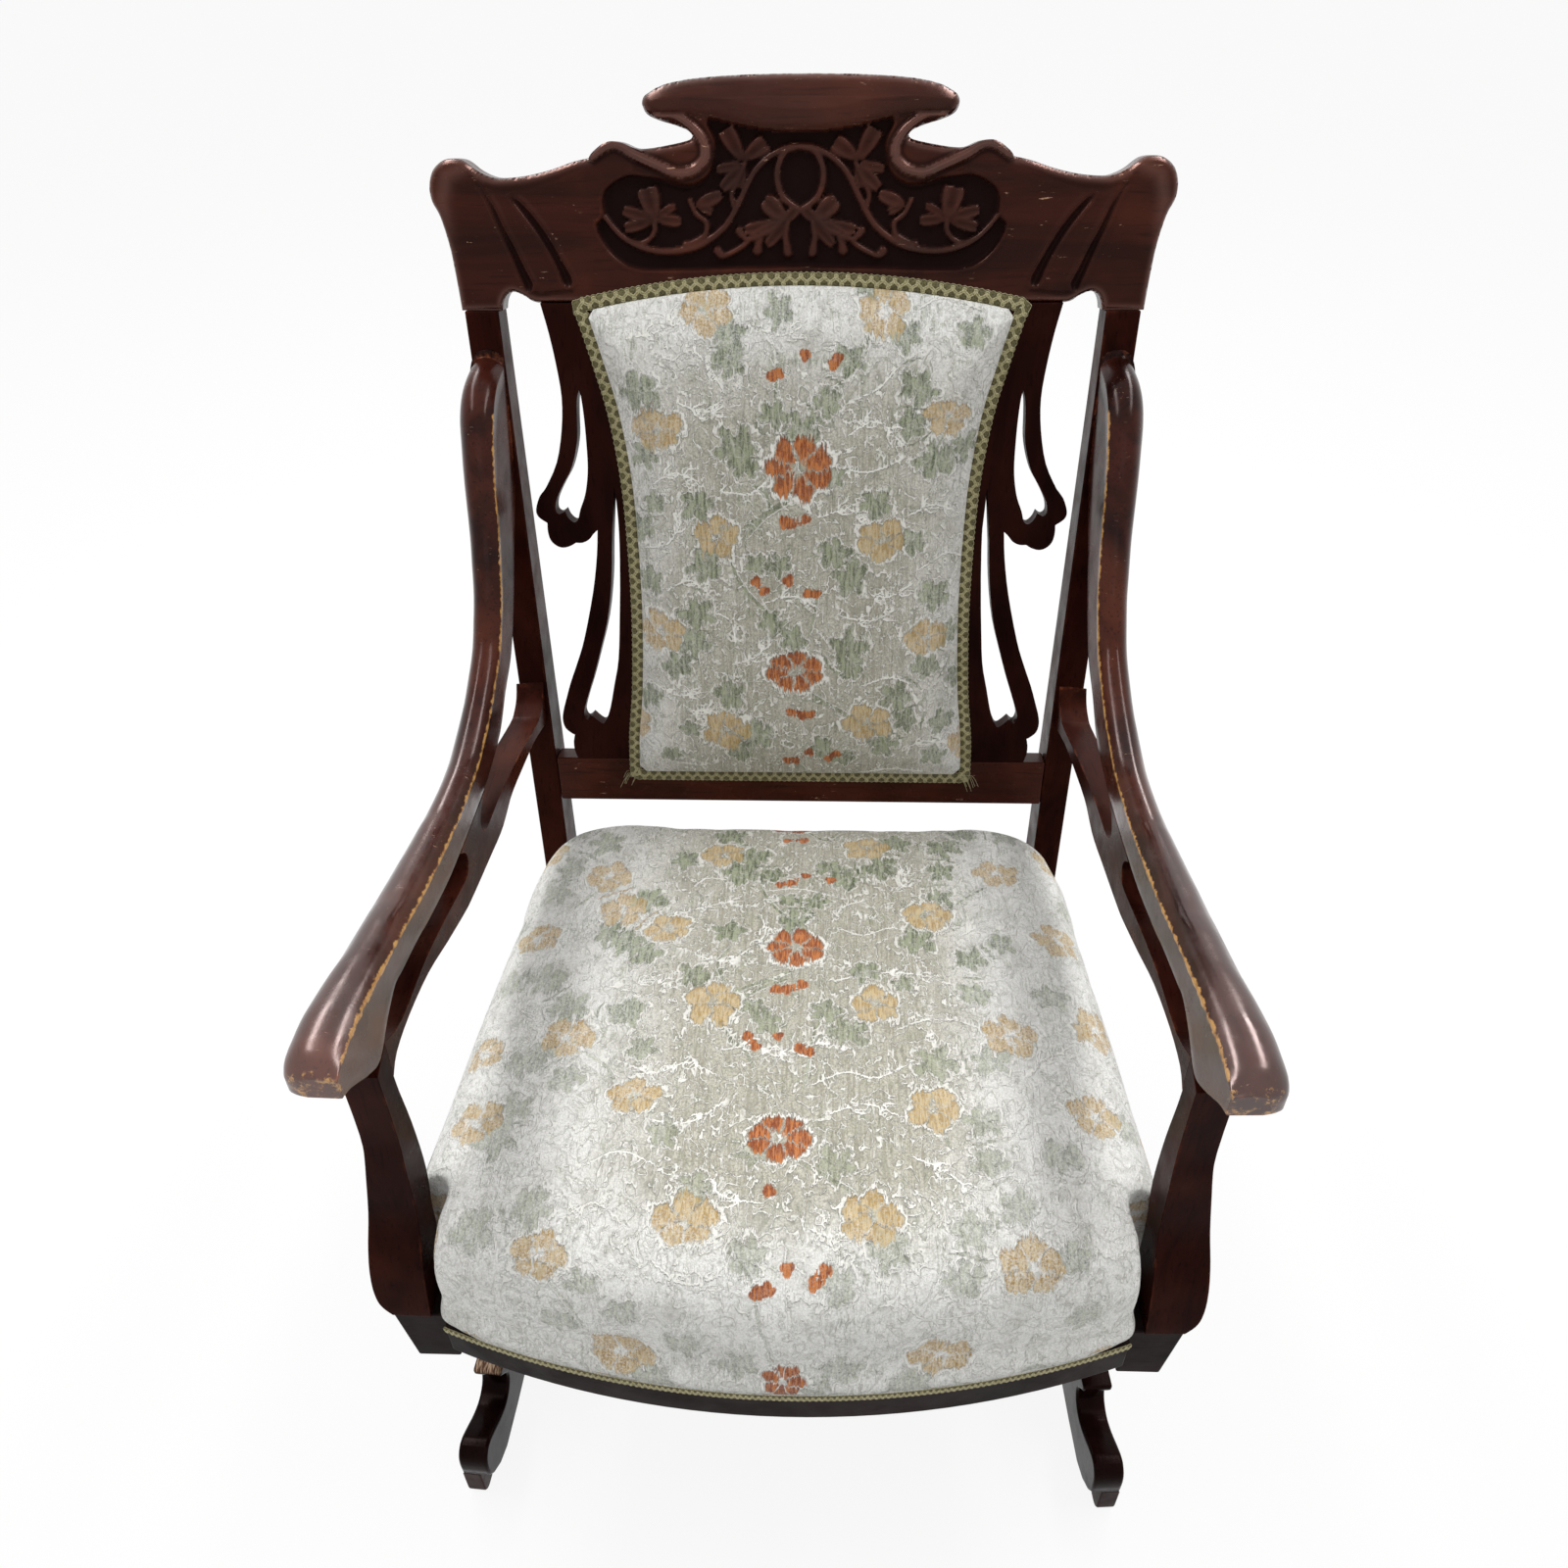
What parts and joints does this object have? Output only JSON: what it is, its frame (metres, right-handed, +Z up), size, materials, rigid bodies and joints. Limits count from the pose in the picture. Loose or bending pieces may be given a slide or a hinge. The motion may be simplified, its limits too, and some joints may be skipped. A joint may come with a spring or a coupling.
{
  "type": "platform rocker",
  "caption": "Upholstered open armchair with carved crest and fretted back, rocking on a low wooden base with coil springs.",
  "frame": {"origin": "on the floor, under the middle of the chair's overall width and depth, at rest", "axes": "+Z up, +Y towards the back, so the front faces -Y, and +X to the right of someone looking at the front"},
  "size_m": [0.6234, 0.712, 1.0565],
  "materials": {
    "mahogany": "French-polished dark red-brown mahogany, glossy, worn paler on edges",
    "dark_mahogany": "darker polished mahogany, semi-gloss",
    "plain_wood": "unpolished inner frame wood",
    "upholstery": "cream and pale grey ribbed floral brocade",
    "outer_cloth": "the same brocade, flat",
    "braid": "olive-gold woven braid",
    "webbing": "jute webbing",
    "black_cloth": "thin black cloth",
    "iron": "dark cast iron",
    "steel": "dull steel wire"
  },
  "bodies": {
    "base": {"left_lower_bracket": "iron", "right_lower_bracket": "iron", "bracket_screws_lower": "steel", "left_front_spring": "steel", "left_rear_spring": "steel", "right_front_spring": "steel", "right_rear_spring": "steel", "left_base_board": "mahogany", "right_base_board": "mahogany", "front_stretcher": "mahogany", "middle_stretcher": "mahogany", "rear_stretcher": "mahogany", "stretcher_screws": "steel", "left_front_foot_pad": "dark_mahogany", "left_rear_foot_pad": "dark_mahogany", "right_front_foot_pad": "dark_mahogany", "right_rear_foot_pad": "dark_mahogany"},
    "chair": {"left_back_post": "mahogany", "right_back_post": "mahogany", "crest_rail": "mahogany", "lower_back_rail": "dark_mahogany", "left_fret_splat": "dark_mahogany", "right_fret_splat": "dark_mahogany", "back_webbing": "webbing", "back_pad": "upholstery", "back_braid": "braid", "back_outer_cloth": "outer_cloth", "left_arm": "mahogany", "right_arm": "mahogany", "left_arm_stay": "mahogany", "right_arm_stay": "mahogany", "left_front_post": "mahogany", "right_front_post": "mahogany", "left_front_block": "dark_mahogany", "right_front_block": "dark_mahogany", "left_side_rail": "dark_mahogany", "right_side_rail": "dark_mahogany", "front_rail": "dark_mahogany", "rear_rail": "dark_mahogany", "corner_blocks": "plain_wood", "webbing_battens": "plain_wood", "seat_webbing": "webbing", "seat_springs": "steel", "seat_pad": "upholstery", "seat_gimp": "braid", "dust_cover": "black_cloth", "left_front_leg": "mahogany", "right_front_leg": "mahogany", "left_rocker": "mahogany", "right_rocker": "mahogany", "rocker_screws": "steel", "left_upper_bracket": "iron", "right_upper_bracket": "iron", "bracket_screws_upper": "steel", "arm_screw_plugs": "mahogany"}
  },
  "joints": [
    {"name": "rock", "type": "hinge", "parent": "base", "child": "chair", "pos_m": [0, 0.01, 0.1014], "axis": [1, 0, 0], "range_deg": [-8, 8], "stiffness_Nm_per_rad": 260, "springref_deg": -0.49, "deforming": ["left_front_spring", "left_rear_spring", "right_front_spring", "right_rear_spring"]}
  ]
}
